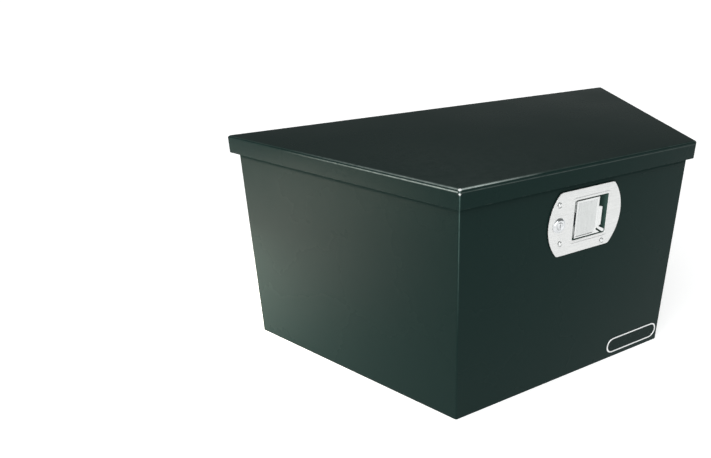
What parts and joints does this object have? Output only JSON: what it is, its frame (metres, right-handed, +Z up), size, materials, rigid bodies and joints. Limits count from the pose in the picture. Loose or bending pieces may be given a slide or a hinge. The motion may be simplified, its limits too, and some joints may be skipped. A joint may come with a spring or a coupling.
{
  "type": "trailer tongue box",
  "caption": "Steel storage chest with a trapezoid plan for an A-frame trailer tongue: rear-hinged lid on gas stays, front paddle latch with key lock.",
  "frame": {"origin": "middle of the box's footprint, at the floor's underside", "axes": "+X along the front to the right as seen from the front, +Y from the narrow front to the wide back, +Z up"},
  "size_m": [0.9132, 0.453, 0.415],
  "materials": {
    "black_coat": "semi-gloss black powder coat with a faint green cast",
    "stainless": "bright brushed",
    "zinc_plate": "zinc plated, satin",
    "spring_steel": "oiled spring steel",
    "lock_chrome": "polished",
    "stay_black": "gloss black",
    "seal_rubber": "matt",
    "plate_aluminium": "satin, blank"
  },
  "bodies": {
    "box": {"front_panel": "black_coat", "left_side_panel": "black_coat", "right_side_panel": "black_coat", "back_panel": "black_coat", "floor_panel": "black_coat", "rim_front": "black_coat", "rim_right": "black_coat", "rim_back": "black_coat", "rim_left": "black_coat", "lid_seal_front": "seal_rubber", "lid_seal_right": "seal_rubber", "lid_seal_back": "seal_rubber", "lid_seal_left": "seal_rubber", "blank_plate": "plate_aluminium", "hinge_leaf_body": "stainless", "hinge_pin": "stainless", "latch_gasket": "seal_rubber", "latch_dish": "stainless", "paddle_pin": "stainless", "paddle_spring": "spring_steel", "latch_housing": "zinc_plate", "bolt_spring": "spring_steel", "bezel_rivet_1": "stainless", "bezel_rivet_2": "stainless", "bezel_rivet_3": "stainless", "housing_rivet_1": "stainless", "housing_rivet_2": "stainless", "lock_barrel": "lock_chrome", "lock_nut": "zinc_plate", "stay_foot_bracket_right": "zinc_plate", "stay_foot_bracket_left": "zinc_plate"},
    "lid": {"lid_top": "black_coat", "lid_lip_front": "black_coat", "lid_lip_right": "black_coat", "lid_lip_back": "black_coat", "lid_lip_left": "black_coat", "lid_brace_front": "zinc_plate", "lid_brace_rear": "zinc_plate", "lid_striker": "stainless", "hinge_leaf_lid": "stainless", "stay_head_bracket_right": "zinc_plate", "stay_head_bracket_left": "zinc_plate"},
    "paddle": {"paddle": "stainless"},
    "bolt": {"latch_bolt": "zinc_plate"},
    "lock": {"lock_plug": "lock_chrome", "lock_cam": "zinc_plate", "cam_nut": "zinc_plate"},
    "tube_right": {"stay_tube_right": "stay_black"},
    "tube_left": {"stay_tube_left": "stay_black"},
    "rod_right": {"stay_rod_right": "lock_chrome"},
    "rod_left": {"stay_rod_left": "lock_chrome"}
  },
  "joints": [
    {"name": "lid_hinge", "type": "hinge", "parent": "box", "child": "lid", "pos_m": [0, 0.2207, 0.383], "axis": [-1, 0, 0], "range_deg": [0, 80]},
    {"name": "paddle_pivot", "type": "hinge", "parent": "box", "child": "paddle", "pos_m": [-0.0117, -0.2123, 0.3165], "axis": [0, 0, -1], "range_deg": [0, 32], "stiffness_Nm_per_rad": 0.3, "springref_deg": -22.92},
    {"name": "bolt_slide", "type": "slide", "parent": "box", "child": "bolt", "axis": [1, 0, 0], "range_m": [0, 0.01432], "deforming": ["bolt_spring"]},
    {"name": "lock_turn", "type": "hinge", "parent": "box", "child": "lock", "pos_m": [-0.0515, -0.2165, 0.315], "axis": [0, -1, 0], "range_deg": [0, 90]},
    {"name": "stay_swing_right", "type": "hinge", "parent": "box", "child": "tube_right", "pos_m": [0.262, 0.1887, 0.353], "axis": [-1, 0, 0], "range_deg": [0, 79.12]},
    {"name": "stay_slide_right", "type": "slide", "parent": "tube_right", "child": "rod_right", "axis": [0, -0.9811, 0.1935], "range_m": [0, 0.05627]},
    {"name": "stay_swing_left", "type": "hinge", "parent": "box", "child": "tube_left", "pos_m": [-0.262, 0.1887, 0.353], "axis": [-1, 0, 0], "range_deg": [0, 79.12]},
    {"name": "stay_slide_left", "type": "slide", "parent": "tube_left", "child": "rod_left", "axis": [0, -0.9811, 0.1935], "range_m": [0, 0.05627]}
  ],
  "couplings": [
    {"joint": "bolt_slide", "follows": "paddle_pivot", "m_per_rad": 0.025618},
    {"joint": "stay_swing_right", "follows": "lid_hinge", "ratio": 0.9889},
    {"joint": "stay_slide_right", "follows": "lid_hinge", "m_per_rad": 0.040295},
    {"joint": "stay_swing_left", "follows": "lid_hinge", "ratio": 0.9889},
    {"joint": "stay_slide_left", "follows": "lid_hinge", "m_per_rad": 0.040295}
  ]
}
